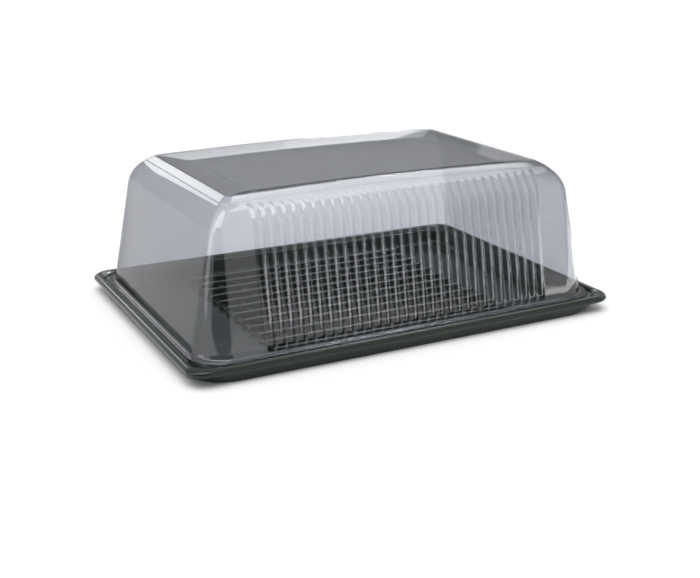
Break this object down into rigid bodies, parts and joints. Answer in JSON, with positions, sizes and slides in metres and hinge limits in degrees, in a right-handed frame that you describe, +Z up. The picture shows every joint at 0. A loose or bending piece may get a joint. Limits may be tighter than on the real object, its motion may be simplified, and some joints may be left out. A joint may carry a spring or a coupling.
{
  "type": "humidity dome tray",
  "caption": "Shallow black rectangular tray with a lift-out growing grid under a clear fluted lift-off dome, for keeping seedlings humid.",
  "frame": {"origin": "middle of the tray's resting face, on the surface it stands on", "axes": "+X along the tray's length, +Y across its width, +Z up, out through the dome's top"},
  "size_m": [0.37, 0.265, 0.126],
  "materials": {
    "black_sheet": "glossy black thermoformed sheet",
    "black_moulded": "glossy black moulded plastic",
    "clear_sheet": "clear glossy thermoformed sheet with a cool tint"
  },
  "bodies": {
    "tray": {"tray": "black_sheet"},
    "grid_insert": {"grid_insert": "black_moulded"},
    "dome": {"dome": "clear_sheet"}
  },
  "joints": [
    {"name": "dome_lift", "type": "slide", "parent": "tray", "child": "dome", "axis": [0, 0, 1], "range_m": [0, 0.15]},
    {"name": "grid_lift", "type": "slide", "parent": "tray", "child": "grid_insert", "axis": [0, 0, 1], "range_m": [0, 0.05]}
  ]
}
